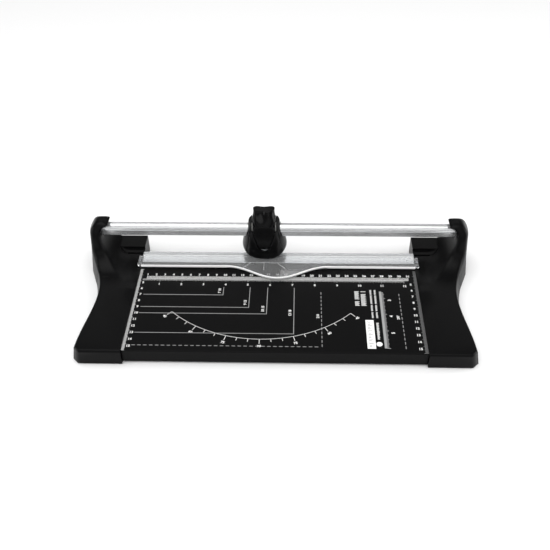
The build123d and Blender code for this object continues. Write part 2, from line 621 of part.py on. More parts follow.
def head_pieces():
    """Every piece of the blade head."""
    save("carriage_frame", carriage_frame())
    save("carriage_front_cover", front_cover())
    save("carriage_rear_cover", rear_cover())
    save("glide_pads", *glide_pads())
    save("cover_screws", cover_screw(-1), cover_screw(1))
    save("press_button", press_button())
    save("blade_holder", blade_holder())
    save("blade_disc", blade_disc())
    save("blade_axle", blade_axle())
    save("blade_clip", blade_clip())
    for side, name in ((-1, "left"), (1, "right")):
        x = HEAD_X + side * SPRING_X
        save(f"press_spring_{name}", coil_spring(x, SPRING_Y, SPRING_LOW, SPRING_HIGH, 1.9, 0.6, 5))
        save(f"roller_{name}", roller(side))
        save(f"roller_pin_{name}", roller_pin(side))


def table_pieces():
    """Table, bar, mat, strip and rail."""
    save("base_board", base_board())
    save("cutting_bar", cutting_bar())
    save("cutting_mat", cutting_mat())
    save("hold_down_strip", hold_down_strip())
    save("guide_rail", guide_rail())


def pair(name, shape):
    """The right-hand piece and its mirror image, as two nodes."""
    save(f"{name}_right", shape)
    save(f"{name}_left", mirrored(shape))


def cap_pieces():
    """Both end caps with everything fastened in them."""
    pair("cap_cover", cap_cover())
    pair("cap_base", cap_base())
    pair("rail_plug", rail_plug())
    pair("rail_screw", rail_screw())
    pair("strip_pin", strip_pin())
    pair("strip_spring", coil_spring(TAB_PIN_X, TAB_PIN_Y, 10.1, STRIP_LOW - 0.05, 1.35, 0.5, 7))
    cap_screws = [low_screw(HALF_WIDTH + out, y, CAP_TOP - WALL - 1.0) for out, y in CAP_SCREWS]
    board_screws = [low_screw(BOARD_SCREW_X, y, TABLE_Z - 0.6) for y in BOARD_SCREW_Y]
    bar_screws = [bar_screw(y, z) for y, z in BAR_SCREWS]
    feet = [foot(HALF_WIDTH + out, y) for out, y in FOOT_SPOTS]
    groups = {"cap_screws": cap_screws, "board_screws": board_screws, "bar_screws": bar_screws, "feet": feet}
    for name, solids in groups.items():
        save(name, *solids, *[mirrored(solid) for solid in solids])


table_pieces()
cap_pieces()
head_pieces()
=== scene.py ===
"""Rotary paper trimmer: finishes, printed scales, cap columns, strip edge, floor, lights and camera.

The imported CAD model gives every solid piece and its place. This script adds what is printed on the
table and what the surfaces look like. Lengths are in metres, in the frame of the CAD model.
"""
from __future__ import annotations

import json
import logging
import math
from dataclasses import dataclass, field
from enum import Enum
from typing import Sequence

import bmesh
import bpy
from mathutils import Matrix, Vector


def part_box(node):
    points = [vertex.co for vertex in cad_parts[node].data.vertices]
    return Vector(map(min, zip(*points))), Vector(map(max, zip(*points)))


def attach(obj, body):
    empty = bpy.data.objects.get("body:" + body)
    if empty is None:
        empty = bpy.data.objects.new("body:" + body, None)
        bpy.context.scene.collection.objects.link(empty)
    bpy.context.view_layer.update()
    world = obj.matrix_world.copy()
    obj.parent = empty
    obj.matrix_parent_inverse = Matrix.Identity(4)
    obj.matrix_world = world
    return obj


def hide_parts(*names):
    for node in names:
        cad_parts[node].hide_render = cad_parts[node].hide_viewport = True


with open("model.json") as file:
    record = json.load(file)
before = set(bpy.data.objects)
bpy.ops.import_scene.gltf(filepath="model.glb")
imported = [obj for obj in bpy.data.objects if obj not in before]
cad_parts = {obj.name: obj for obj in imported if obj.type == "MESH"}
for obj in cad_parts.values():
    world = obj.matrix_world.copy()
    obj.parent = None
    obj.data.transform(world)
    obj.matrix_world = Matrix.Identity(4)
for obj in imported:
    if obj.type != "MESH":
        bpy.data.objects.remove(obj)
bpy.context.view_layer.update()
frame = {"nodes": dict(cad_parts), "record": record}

LOG = logging.getLogger("paper_trimmer")
MM = 0.001
INCH = 25.4 * MM
PRINT_LIFT = 0.02 * MM          # underside of the print above the table
PRINT_THICK = 0.03 * MM         # thickness of the ink
DIGIT_FACES = 2                 # curve steps in a printed digit
DIGIT_SHARE = 0.7               # height of a digit, as a share of the font's size
DIGIT_BOLD = 0.045              # how far a digit's outline is thickened, as a share of its height
DUST_COLOUR = (0.45, 0.44, 0.42)
WELD = 0.001 * MM               # corners nearer than this are one
LEFT, RIGHT = math.pi / 2, -math.pi / 2     # quarter turns of a print


class Body(Enum):
    """Moving groups of the trimmer that new pieces ride on."""

    ROOT = "root"
    STRIP = "strip"


class Slot(Enum):
    """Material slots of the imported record."""

    TABLE = "table_steel"
    BAR = "bar_aluminium"
    MAT = "mat_plastic"
    STRIP = "clear_strip"
    RAIL = "rail_aluminium"
    FEET = "foot_rubber"
    BLADE = "blade_steel"
    GLIDE = "glide_plastic"
    ROLLER = "roller_plastic"
    HEAD = "head_plastic"
    CAP = "cap_plastic"
    INNER = "inner_plastic"
    FITTING = "fitting_steel"


class Grain(Enum):
    """Direction in which a surface's fine texture is drawn out: scale along X, Y and Z."""

    EVEN = (1.0, 1.0, 1.0)
    ALONG_X = (0.012, 1.0, 1.0)


# ---- shader node groups ------------------------------------------------------------------------
@dataclass
class GroupWriter:
    """Writes one node group: sockets first, then nodes joined as they are added."""

    name: str
    kind: str
    tree: bpy.types.NodeTree = field(init=False)
    entry: bpy.types.Node = field(init=False)
    exit: bpy.types.Node = field(init=False)

    def __post_init__(self) -> None:
        """Makes the empty group with its input and output nodes."""
        self.tree = bpy.data.node_groups.new(self.name, self.kind)
        self.entry = self.tree.nodes.new("NodeGroupInput")
        self.exit = self.tree.nodes.new("NodeGroupOutput")

    def socket(self, name: str, kind: str, default: object = None, output: bool = False) -> None:
        """Adds one named socket.

        Args:
            name: name shown on the group.
            kind: Blender's socket type.
            default: value used where nothing is joined.
            output: True for an output socket.
        """
        way = "OUTPUT" if output else "INPUT"
        made = self.tree.interface.new_socket(name, in_out=way, socket_type=kind)
        if default is not None:
            made.default_value = default

    def node(self, kind: str, inputs: dict | None = None, **settings: object) -> bpy.types.Node:
        """Adds a node.

        Args:
            kind: Blender's node type.
            inputs: socket name or number to a value or to an output socket.
            **settings: properties of the node.

        Returns:
            The new node.
        """
        made = self.tree.nodes.new(kind)
        for key, value in settings.items():
            setattr(made, key, value)
        for key, value in (inputs or {}).items():
            if isinstance(value, bpy.types.NodeSocket):
                self.tree.links.new(value, made.inputs[key])
            else:
                made.inputs[key].default_value = value
        return made

    def maths(self, operation: str, first: object, second: object = 0.0, clamp: bool = False) -> object:
        """Adds a Math node.

        Args:
            operation: Blender's name of the operation.
            first: value or output socket.
            second: value or output socket.
            clamp: keeps the result between 0 and 1.

        Returns:
            The output socket with the result.
        """
        made = self.node("ShaderNodeMath", {0: first, 1: second}, operation=operation, use_clamp=clamp)
        return made.outputs[0]

    def give(self, **outputs: object) -> bpy.types.NodeTree:
        """Joins the outputs, named with _ for a space.

        Args:
            **outputs: output name to the socket that feeds it.

        Returns:
            The finished group.
        """
        for name, value in outputs.items():
            self.tree.links.new(value, self.exit.inputs[name.replace("_", " ")])
        return self.tree


def grain_group() -> bpy.types.NodeTree:
    """Fine surface texture, drawn out along one direction.

    Returns:
        A group with a Height for bump and a Tone that varies softly about one half.
    """
    g = GroupWriter("surface_grain", "ShaderNodeTree")
    g.socket("Vector", "NodeSocketVector")
    g.socket("Stretch", "NodeSocketVector", (1.0, 1.0, 1.0))
    g.socket("Scale", "NodeSocketFloat", 900.0)
    g.socket("Unevenness", "NodeSocketFloat", 0.2)
    g.socket("Height", "NodeSocketFloat", output=True)
    g.socket("Tone", "NodeSocketFloat", output=True)
    inside = g.entry.outputs
    drawn = g.node("ShaderNodeVectorMath", {0: inside["Vector"], 1: inside["Stretch"]},
                   operation="MULTIPLY").outputs[0]
    fine = g.node("ShaderNodeTexNoise", {"Vector": drawn, "Scale": inside["Scale"], "Detail": 2.0,
                                         "Roughness": 0.55})
    cloud = g.node("ShaderNodeTexNoise", {"Vector": inside["Vector"], "Scale": 28.0, "Detail": 3.0})
    blend = g.maths("ADD", g.maths("MULTIPLY", fine.outputs["Fac"], 0.5),
                    g.maths("MULTIPLY", cloud.outputs["Fac"], 0.5))
    swing = g.maths("MULTIPLY", g.maths("SUBTRACT", blend, 0.5), inside["Unevenness"])
    tone = g.maths("ADD", g.maths("MULTIPLY", swing, 2.0), 0.5)
    return g.give(Height=fine.outputs["Fac"], Tone=tone)


def edge_group() -> bpy.types.NodeTree:
    """Softened edges, and the mask of where hands and paper have rubbed them.

    Returns:
        A group with the rounded Normal and a Wear mask.
    """
    g = GroupWriter("edge_wear", "ShaderNodeTree")
    g.socket("Vector", "NodeSocketVector")
    g.socket("Radius", "NodeSocketFloat", 0.0004)
    g.socket("Amount", "NodeSocketFloat", 0.3)
    g.socket("Normal", "NodeSocketVector", output=True)
    g.socket("Wear", "NodeSocketFloat", output=True)
    inside = g.entry.outputs
    soft = g.node("ShaderNodeBevel", {"Radius": inside["Radius"]}, samples=4)
    face = g.node("ShaderNodeNewGeometry")
    same = g.node("ShaderNodeVectorMath", {0: soft.outputs[0], 1: face.outputs["Normal"]},
                  operation="DOT_PRODUCT").outputs["Value"]
    rim = g.maths("MULTIPLY", g.maths("SUBTRACT", 1.0, same), 6.0, clamp=True)
    patchy = g.node("ShaderNodeTexNoise", {"Vector": inside["Vector"], "Scale": 210.0, "Detail": 3.0})
    worn = g.maths("MULTIPLY", rim, g.maths("MULTIPLY", patchy.outputs["Fac"], inside["Amount"]), clamp=True)
    return g.give(Normal=soft.outputs[0], Wear=worn)


def dust_group() -> bpy.types.NodeTree:
    """Thin settled dust on faces that look up.

    Returns:
        A group with one Dust mask.
    """
    g = GroupWriter("settled_dust", "ShaderNodeTree")
    g.socket("Vector", "NodeSocketVector")
    g.socket("Amount", "NodeSocketFloat", 0.02)
    g.socket("Dust", "NodeSocketFloat", output=True)
    inside = g.entry.outputs
    face = g.node("ShaderNodeNewGeometry")
    up = g.node("ShaderNodeSeparateXYZ", {0: face.outputs["Normal"]}).outputs["Z"]
    facing = g.maths("POWER", g.maths("MAXIMUM", up, 0.0), 3.0)
    specks = g.node("ShaderNodeTexNoise", {"Vector": inside["Vector"], "Scale": 1400.0, "Detail": 1.0})
    lumps = g.node("ShaderNodeMapRange", {"Value": specks.outputs["Fac"], "From Min": 0.5, "From Max": 0.78})
    laid = g.maths("MULTIPLY", g.maths("MULTIPLY", facing, lumps.outputs[0]), inside["Amount"], clamp=True)
    return g.give(Dust=laid)


@dataclass(frozen=True)
class Effects:
    """The shader groups that every finish shares."""

    grain: bpy.types.NodeTree
    edge: bpy.types.NodeTree
    dust: bpy.types.NodeTree


@dataclass(frozen=True)
class Finish:
    """One surface finish and how strongly each shared effect shows on it."""

    name: str
    colour: tuple[float, float, float]
    roughness: float
    metallic: float = 0.0
    specular: float = 0.5
    transmission: float = 0.0
    ior: float = 1.5
    grain: Grain = Grain.EVEN
    grain_scale: float = 900.0
    grain_depth: float = 0.01 * MM
    unevenness: float = 0.25
    edge_radius: float = 0.3 * MM
    wear: float = 0.25
    worn_lift: float = 0.05
    dust: float = 0.02

    def material(self, effects: Effects) -> bpy.types.Material:
        """Builds the material.

        Args:
            effects: the shared shader groups.

        Returns:
            The finished material.
        """
        made = bpy.data.materials.new(self.name)
        made.use_nodes = True
        nodes, links = made.node_tree.nodes, made.node_tree.links
        shader = nodes["Principled BSDF"]
        place = nodes.new("ShaderNodeTexCoord").outputs["Object"]

        def group(tree: bpy.types.NodeTree, **values: object) -> bpy.types.Node:
            """Places one shared group and sets its values."""
            node = nodes.new("ShaderNodeGroup")
            node.node_tree = tree
            links.new(place, node.inputs["Vector"])
            for key, value in values.items():
                node.inputs[key].default_value = value
            return node

        grain = group(effects.grain, Stretch=self.grain.value, Scale=self.grain_scale,
                      Unevenness=self.unevenness)
        edge = group(effects.edge, Radius=self.edge_radius, Amount=self.wear)
        dust = group(effects.dust, Amount=self.dust)

        def mixed(mask: object, first: object, second: object) -> object:
            """Colour between first and second by the mask."""
            node = nodes.new("ShaderNodeMix")
            node.data_type = "RGBA"
            links.new(mask, node.inputs[0])
            for socket, value in ((node.inputs[6], first), (node.inputs[7], second)):
                if isinstance(value, bpy.types.NodeSocket):
                    links.new(value, socket)
                else:
                    socket.default_value = (*value, 1.0)
            return node.outputs[2]

        lighter = tuple(min(1.0, c + self.worn_lift) for c in self.colour)
        toned = mixed(grain.outputs["Tone"], tuple(0.86 * c for c in self.colour),
                      tuple(min(1.0, 1.14 * c) for c in self.colour))
        worn = mixed(edge.outputs["Wear"], toned, lighter)
        links.new(mixed(dust.outputs["Dust"], worn, DUST_COLOUR), shader.inputs["Base Color"])

        rough = nodes.new("ShaderNodeMapRange")
        links.new(grain.outputs["Tone"], rough.inputs["Value"])
        rough.inputs["To Min"].default_value = self.roughness * (1.0 - self.unevenness)
        rough.inputs["To Max"].default_value = min(1.0, self.roughness * (1.0 + self.unevenness))
        links.new(rough.outputs[0], shader.inputs["Roughness"])

        bump = nodes.new("ShaderNodeBump")
        bump.inputs["Strength"].default_value = 1.0
        bump.inputs["Distance"].default_value = self.grain_depth
        links.new(grain.outputs["Height"], bump.inputs["Height"])
        links.new(edge.outputs["Normal"], bump.inputs["Normal"])
        links.new(bump.outputs[0], shader.inputs["Normal"])

        shader.inputs["Metallic"].default_value = self.metallic
        shader.inputs["Specular IOR Level"].default_value = self.specular
        shader.inputs["Transmission Weight"].default_value = self.transmission
        shader.inputs["IOR"].default_value = self.ior
        made.diffuse_color = (*self.colour, 1.0)
        return made


SLOT_FINISHES: dict[Slot, Finish] = {
    Slot.TABLE: Finish("satin_black_powder_coat", (0.0022, 0.0022, 0.0024), 0.45, specular=0.1,
                       grain_scale=1500.0, grain_depth=0.006 * MM, dust=0.006, wear=0.2),
    Slot.BAR: Finish("drawn_aluminium", (0.82, 0.83, 0.84), 0.2, metallic=1.0, grain=Grain.ALONG_X,
                     grain_scale=2600.0, grain_depth=0.0001 * MM, unevenness=0.08, wear=0.1, dust=0.004),
    Slot.MAT: Finish("grey_cutting_mat", (0.52, 0.53, 0.54), 0.5, grain_scale=1800.0, grain_depth=0.006 * MM),
    Slot.STRIP: Finish("clear_acrylic", (0.93, 0.95, 0.96), 0.05, transmission=0.9, ior=1.49, wear=0.0,
                       grain_scale=60.0, grain_depth=0.0, unevenness=0.1, edge_radius=0.1 * MM, dust=0.0),
    Slot.RAIL: Finish("satin_anodised_aluminium", (0.86, 0.87, 0.88), 0.26, metallic=0.8, grain=Grain.ALONG_X,
                      grain_scale=2200.0, grain_depth=0.0001 * MM, unevenness=0.08, wear=0.15, dust=0.004),
    Slot.FEET: Finish("soft_rubber", (0.02, 0.02, 0.02), 0.8, specular=0.2, grain_scale=1300.0,
                      grain_depth=0.02 * MM),
    Slot.BLADE: Finish("ground_blade_steel", (0.62, 0.63, 0.64), 0.18, metallic=1.0, grain_scale=2400.0,
                       grain_depth=0.002 * MM, wear=0.3),
    Slot.GLIDE: Finish("pale_glide_plastic", (0.8, 0.8, 0.76), 0.4),
    Slot.ROLLER: Finish("roller_plastic", (0.04, 0.04, 0.042), 0.45, specular=0.35),
    Slot.HEAD: Finish("gloss_black_plastic", (0.0022, 0.0022, 0.0024), 0.24, specular=0.12, grain_scale=700.0,
                      grain_depth=0.003 * MM, edge_radius=0.5 * MM, wear=0.35, worn_lift=0.03, dust=0.008),
    Slot.CAP: Finish("satin_black_plastic", (0.0022, 0.0022, 0.0024), 0.34, specular=0.1, grain_scale=1100.0,
                     grain_depth=0.012 * MM, edge_radius=0.5 * MM, wear=0.35, worn_lift=0.03, dust=0.01),
    Slot.INNER: Finish("moulded_inner_plastic", (0.03, 0.03, 0.032), 0.45, specular=0.35),
    Slot.FITTING: Finish("zinc_plated_steel", (0.56, 0.57, 0.6), 0.3, metallic=1.0, grain_scale=1500.0,
                         grain_depth=0.004 * MM, wear=0.3),
}
WHITE_INK = Finish("white_ink", (0.78, 0.78, 0.77), 0.5, grain_scale=1600.0, grain_depth=0.004 * MM,
                   edge_radius=0.01 * MM, wear=0.0, dust=0.0, unevenness=0.4)
GREY_INK = Finish("grey_ink", (0.3, 0.3, 0.3), 0.5, grain_scale=1600.0, grain_depth=0.004 * MM,
                  edge_radius=0.01 * MM, wear=0.0, dust=0.0, unevenness=0.4)
LABEL_PAPER = Finish("label_paper", (0.86, 0.86, 0.85), 0.45, grain_scale=1200.0, grain_depth=0.006 * MM,
                     edge_radius=0.02 * MM, wear=0.1, dust=0.01)
# Painted highlight: near-white colour on the strip's front edge, standing for the light that its polished edge
# catches.
STRIP_EDGE_PAINTED_HIGHLIGHT = Finish("painted_highlight_strip_edge", (0.98, 0.98, 0.98), 0.6, grain_scale=1500.0,
                      grain_depth=0.004 * MM, edge_radius=0.05 * MM, wear=0.0, dust=0.0)


# ---- geometry node trees -----------------------------------------------------------------------
def tick_bar(g: GroupWriter, places: object, width: object, length: object, turn: object) -> object:
    """Bars that stand on points, finished as plain mesh.

    Args:
        g: the tree being written.
        places: geometry socket with one point for each bar.
        width: width of the bars.
        length: length of each bar.
        turn: rotation of each bar.

    Returns:
        The geometry socket with the realised bars.
    """
    inside = g.entry.outputs
    cube = g.node("GeometryNodeMeshCube", {"Size": (1.0, 1.0, 1.0)})
    based = g.node("GeometryNodeTransform", {"Geometry": cube.outputs["Mesh"],
                                             "Translation": (0.0, 0.5, 0.5)})
    size = g.node("ShaderNodeCombineXYZ", {"X": width, "Y": length, "Z": inside["Thickness"]})
    laid = g.node("GeometryNodeInstanceOnPoints", {
        "Points": places, "Instance": based.outputs[0], "Rotation": turn, "Scale": size.outputs[0]})
    plain = g.node("GeometryNodeRealizeInstances", {"Geometry": laid.outputs[0]})
    inked = g.node("GeometryNodeSetMaterial", {"Geometry": plain.outputs[0], "Material": inside["Ink"]})
    return inked.outputs[0]


def longer_every(g: GroupWriter, number: object, every: object, base: object, long: object) -> object:
    """Length that changes at every so many bars.

    Args:
        g: the tree being written.
        number: index of the bar.
        every: how many bars apart the long ones are.
        base: length of the other bars.
        long: length of the long bars.

    Returns:
        The output socket with the length.
    """
    left_over = g.maths("MODULO", number, every)
    is_long = g.maths("COMPARE", left_over, 0.0)
    is_long.node.inputs[2].default_value = 0.5
    return g.maths("ADD", base, g.maths("MULTIPLY", is_long, g.maths("SUBTRACT", long, base)))


def tick_row_tree() -> bpy.types.NodeTree:
    """Straight row of bars along X, with longer ones at regular steps.

    Returns:
        The geometry node tree.
    """
    g = GroupWriter("tick_row", "GeometryNodeTree")
    g.socket("Geometry", "NodeSocketGeometry")
    g.socket("Count", "NodeSocketInt", 10)
    for name, value in (("Step", 1.0 * MM), ("Width", 0.2 * MM), ("Short", 1.5 * MM), ("Middle", 2.2 * MM),
                        ("Long", 3.0 * MM), ("Middle Every", 5.0), ("Long Every", 10.0),
                        ("Thickness", PRINT_THICK)):
        g.socket(name, "NodeSocketFloat", value)
    g.socket("Ink", "NodeSocketMaterial")
    g.socket("Geometry", "NodeSocketGeometry", output=True)
    inside = g.entry.outputs
    step = g.node("ShaderNodeCombineXYZ", {"X": inside["Step"]})
    points = g.node("GeometryNodeMeshLine", {"Count": inside["Count"], "Offset": step.outputs[0]})
    number = g.node("GeometryNodeInputIndex").outputs[0]
    middle = longer_every(g, number, inside["Middle Every"], inside["Short"], inside["Middle"])
    length = longer_every(g, number, inside["Long Every"], middle, inside["Long"])
    bars = tick_bar(g, points.outputs[0], inside["Width"], length, (0.0, 0.0, 0.0))
    return g.give(Geometry=bars)


def tick_arc_tree() -> bpy.types.NodeTree:
    """Bars that point outwards from an arc, with longer ones at regular steps.

    Returns:
        The geometry node tree.
    """
    g = GroupWriter("tick_arc", "GeometryNodeTree")
    g.socket("Geometry", "NodeSocketGeometry")
    g.socket("Count", "NodeSocketInt", 10)
    for name, value in (("Radius", 0.1), ("Start", 0.0), ("Turn", 0.1), ("Width", 0.4 * MM),
                        ("Short", 3.0 * MM), ("Long", 6.0 * MM), ("Long Every", 3.0),
                        ("Thickness", PRINT_THICK)):
        g.socket(name, "NodeSocketFloat", value)
    g.socket("Ink", "NodeSocketMaterial")
    g.socket("Geometry", "NodeSocketGeometry", output=True)
    inside = g.entry.outputs
    points = g.node("GeometryNodeMeshLine", {"Count": inside["Count"]})
    number = g.node("GeometryNodeInputIndex").outputs[0]
    angle = g.maths("ADD", inside["Start"], g.maths("MULTIPLY", number, inside["Turn"]))
    across = g.maths("MULTIPLY", inside["Radius"], g.maths("SINE", angle))
    down = g.maths("MULTIPLY", inside["Radius"], g.maths("COSINE", angle))
    place = g.node("ShaderNodeCombineXYZ", {"X": across, "Y": g.maths("MULTIPLY", down, -1.0)})
    bent = g.node("GeometryNodeSetPosition", {"Geometry": points.outputs[0], "Position": place.outputs[0]})
    turn = g.node("ShaderNodeCombineXYZ", {"Z": g.maths("ADD", angle, math.pi)})
    length = longer_every(g, number, inside["Long Every"], inside["Short"], inside["Long"])
    bars = tick_bar(g, bent.outputs[0], inside["Width"], length, turn.outputs[0])
    return g.give(Geometry=bars)


def grown(tree: bpy.types.NodeTree, **values: object) -> bpy.types.Mesh:
    """Runs a geometry node tree once.

    Args:
        tree: the tree to run.
        **values: input name, with _ for a space, to its value.

    Returns:
        The plain mesh that it makes.
    """
    holder = bpy.data.objects.new("holder", bpy.data.meshes.new("holder"))
    bpy.context.scene.collection.objects.link(holder)
    modifier = holder.modifiers.new("grow", "NODES")
    modifier.node_group = tree
    keys = {item.name: item.identifier for item in tree.interface.items_tree if item.in_out == "INPUT"}
    for name, value in values.items():
        modifier[keys[name.replace("_", " ")]] = value
    holder.update_tag()
    graph = bpy.context.evaluated_depsgraph_get()
    made = bpy.data.meshes.new_from_object(holder.evaluated_get(graph))
    holder.modifiers.clear()
    bpy.data.objects.remove(holder)
    return made


# ---- mesh helpers ------------------------------------------------------------------------------
@dataclass
class Gatherer:
    """Collects small meshes of one finish into a single piece."""

    name: str
    material: bpy.types.Material
    bm: bmesh.types.BMesh = field(default_factory=bmesh.new)

    def add(self, mesh: bpy.types.Mesh, place: Matrix) -> None:
        """Adds a mesh at a place and frees it.

        Args:
            mesh: the mesh to add.
            place: its matrix.
        """
        mesh.transform(place)
        self.bm.from_mesh(mesh)
        bpy.data.meshes.remove(mesh)

    def bar(self, low: Sequence[float], high: Sequence[float], place: Matrix) -> None:
        """Adds a flat bar of ink between two corners.

        Args:
            low: corner with the smaller X and Y.
            high: corner with the larger X and Y.
            place: matrix of the table's printed frame.
        """
        made = bmesh.ops.create_cube(self.bm, size=1.0)["verts"]
        size = Vector((high[0] - low[0], high[1] - low[1], PRINT_THICK))
        middle = Vector(((high[0] + low[0]) / 2, (high[1] + low[1]) / 2, PRINT_THICK / 2))
        for vertex in made:
            vertex.co = place @ (vertex.co * size + middle)

    def finish(self, body: Body) -> bpy.types.Object:
        """Turns the collected meshes into a piece that rides on a body.

        Args:
            body: the body that carries the piece.

        Returns:
            The piece.
        """
        mesh = bpy.data.meshes.new(self.name)
        self.bm.to_mesh(mesh)
        self.bm.free()
        mesh.materials.clear()
        mesh.materials.append(self.material)
        mesh.polygons.foreach_set("material_index", [0] * len(mesh.polygons))
        piece = bpy.data.objects.new(self.name, mesh)
        bpy.context.scene.collection.objects.link(piece)
        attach(piece, body.value)
        LOG.info("piece %s on %s: %d faces", self.name, body.value, len(mesh.polygons))
        return piece


def merged(source: bpy.types.Mesh) -> bmesh.types.BMesh:
    """Copy of a CAD mesh with its triangles joined.

    Args:
        source: the CAD mesh.

    Returns:
        The joined copy.
    """
    bm = bmesh.new()
    bm.from_mesh(source)
    bmesh.ops.remove_doubles(bm, verts=bm.verts, dist=WELD)
    bmesh.ops.recalc_face_normals(bm, faces=bm.faces)
    return bm


def digits(text: str, height: float) -> bpy.types.Mesh:
    """Printed number, centred on its own origin and lying flat.

    Args:
        text: the digits.
        height: height of a digit.

    Returns:
        The number as a plain mesh.
    """
    curve = bpy.data.curves.new("digits", "FONT")
    curve.body = text
    curve.size = height / DIGIT_SHARE
    curve.align_x = "CENTER"
    curve.align_y = "CENTER"
    curve.resolution_u = DIGIT_FACES
    curve.extrude = PRINT_THICK / 2
    curve.offset = DIGIT_BOLD * height
    holder = bpy.data.objects.new("digits", curve)
    bpy.context.scene.collection.objects.link(holder)
    graph = bpy.context.evaluated_depsgraph_get()
    made = bpy.data.meshes.new_from_object(holder.evaluated_get(graph))
    made.transform(Matrix.Translation((0.0, 0.0, PRINT_THICK / 2)))
    bpy.data.objects.remove(holder)
    return made


# ---- printed table -----------------------------------------------------------------------------
@dataclass(frozen=True)
class TableFrame:
    """Where the printed scales are measured from: the left fence, the cut line and the table's top."""

    fence: float
    cut: float
    top: float

    def at(self, across: float, down: float, turn: float = 0.0) -> Matrix:
        """Place of a print.

        Args:
            across: distance from the left fence.
            down: distance from the cut line towards the user.
            turn: turn about the upright axis.

        Returns:
            The matrix of that place.
        """
        move = Matrix.Translation((self.fence + across, self.cut - down, self.top + PRINT_LIFT))
        return move @ Matrix.Rotation(turn, 4, "Z")


@dataclass
class RulerPrint:
    """Centimetre and inch scales along the strip and down both fences."""

    table: TableFrame
    line: float = 43.3 * MM         # shared line of the two scales, from the cut line
    first: float = 10.0 * MM
    last: float = 310.0 * MM
    side_start: float = 27.0 * MM
    side_count: int = 130
    digit: float = 3.1 * MM
    width: float = 320.0 * MM
    centimetre_row: float = 36.0 * MM       # middle of the numbers above the line
    inch_row: float = 52.5 * MM             # and below it
    left_column: float = 6.6 * MM           # numbers beside the fences
    right_column: float = 312.0 * MM

    def build(self, row: bpy.types.NodeTree, white: Gatherer, grey: Gatherer) -> None:
        """Adds the scales.

        Args:
            row: tree of a straight row of ticks.
            white: gatherer of white ink.
            grey: gatherer of grey ink.
        """
        at = self.table.at
        white.bar((self.first, -0.15 * MM), (self.last, 0.15 * MM), at(0.0, self.line))
        ink = white.material
        centimetres = grown(row, Count=301, Step=MM, Width=0.42 * MM, Short=4.5 * MM, Middle=4.8 * MM,
                            Long=5.0 * MM, Middle_Every=5.0, Long_Every=10.0, Ink=ink)
        white.add(centimetres, at(self.first, self.line))
        steps = 32
        inches = grown(row, Count=int((self.last - self.first) / INCH * steps) + 1, Step=INCH / steps,
                       Width=0.22 * MM, Short=2.6 * MM, Middle=3.4 * MM, Long=4.4 * MM, Middle_Every=4.0,
                       Long_Every=float(steps), Ink=ink)
        first_inch = 12 * INCH
        white.add(inches, at(first_inch, self.line, math.pi))
        for number in range(1, 32):
            white.add(digits(str(number), self.digit), at(number * 10 * MM, self.centimetre_row))
        for number in range(1, 13):
            white.add(digits(str(number), self.digit), at(number * INCH, self.inch_row))
        self.side_scales(row, white, grey)

    def side_scales(self, row: bpy.types.NodeTree, white: Gatherer, grey: Gatherer) -> None:
        """Adds the scales down both fences.

        Args:
            row: tree of a straight row of ticks.
            white: gatherer of white ink.
            grey: gatherer of grey ink.
        """
        at = self.table.at
        left = grown(row, Count=self.side_count, Step=MM, Width=0.45 * MM, Short=3.1 * MM, Middle=3.5 * MM,
                     Long=4.0 * MM, Middle_Every=5.0, Long_Every=10.0, Ink=white.material)
        white.add(left, at(0.2 * MM, self.side_start, RIGHT))
        right = grown(row, Count=self.side_count, Step=MM, Width=0.3 * MM, Short=3.3 * MM, Middle=3.9 * MM,
                      Long=4.5 * MM, Middle_Every=5.0, Long_Every=10.0, Ink=grey.material)
        last = self.side_start + (self.side_count - 1) * MM
        grey.add(right, at(self.width - 0.35 * MM, last, LEFT))
        for number in range(5, 16):
            for across in (self.left_column, self.right_column):
                white.add(digits(str(number), self.digit), at(across, number * 10 * MM))


@dataclass
class FormatPrint:
    """Outlines of paper formats, measured from the left fence and the cut line."""

    table: TableFrame
    corners: tuple[tuple[float, float, float, str], ...] = (
        (100 * MM, 70 * MM, 63 * MM, "7 10"), (130 * MM, 90 * MM, 82 * MM, "9 13"),
        (150 * MM, 100 * MM, 92 * MM, "10 15"), (180 * MM, 130 * MM, 98 * MM, "13 18"))
    first: float = 10.0 * MM
    top: float = 57.0 * MM
    line: float = 0.7 * MM
    dash: float = 3.7 * MM
    dash_step: float = 6.2 * MM

    def build(self, row: bpy.types.NodeTree, white: Gatherer, grey: Gatherer) -> None:
        """Adds the outlines and their sizes in centimetres or millimetres.

        Args:
            row: tree of a straight row, used here for the dashes.
            white: gatherer of white ink.
            grey: gatherer of grey ink.
        """
        at = self.table.at
        half = self.line / 2
        for across, down, middle, size in self.corners:
            grey.bar((self.first, -half), (across + half, half), at(0.0, down))
            grey.bar((-half, half), (half, down - self.top), at(across, down))
            white.add(digits(size, 3.0 * MM), at(across - 4.2 * MM, middle, LEFT))
        for across, down, size in ((210 * MM, 148.5 * MM, "210"), (297 * MM, 150 * MM, "297")):
            self.dashes(row, grey, down - self.top, at(across, down, LEFT))
            middle = (down + self.top) / 2
            white.add(digits(size, 2.8 * MM), at(across - 3.8 * MM, middle, LEFT))
        self.dashes(row, grey, 200 * MM, at(self.first, 148.5 * MM))

    def dashes(self, row: bpy.types.NodeTree, ink: Gatherer, length: float, place: Matrix) -> None:
        """Adds one dashed line.

        Args:
            row: tree of a straight row.
            ink: gatherer that takes the dashes.
            length: length of the line.
            place: where it starts; it runs along its own X.
        """
        count = int(length / self.dash_step)
        dashes = grown(row, Count=count, Step=self.dash_step, Width=self.dash, Short=self.line,
                       Middle=self.line, Long=self.line, Ink=ink.material)
        ink.add(dashes, place @ Matrix.Translation((self.dash / 2, -self.line / 2, 0.0)))


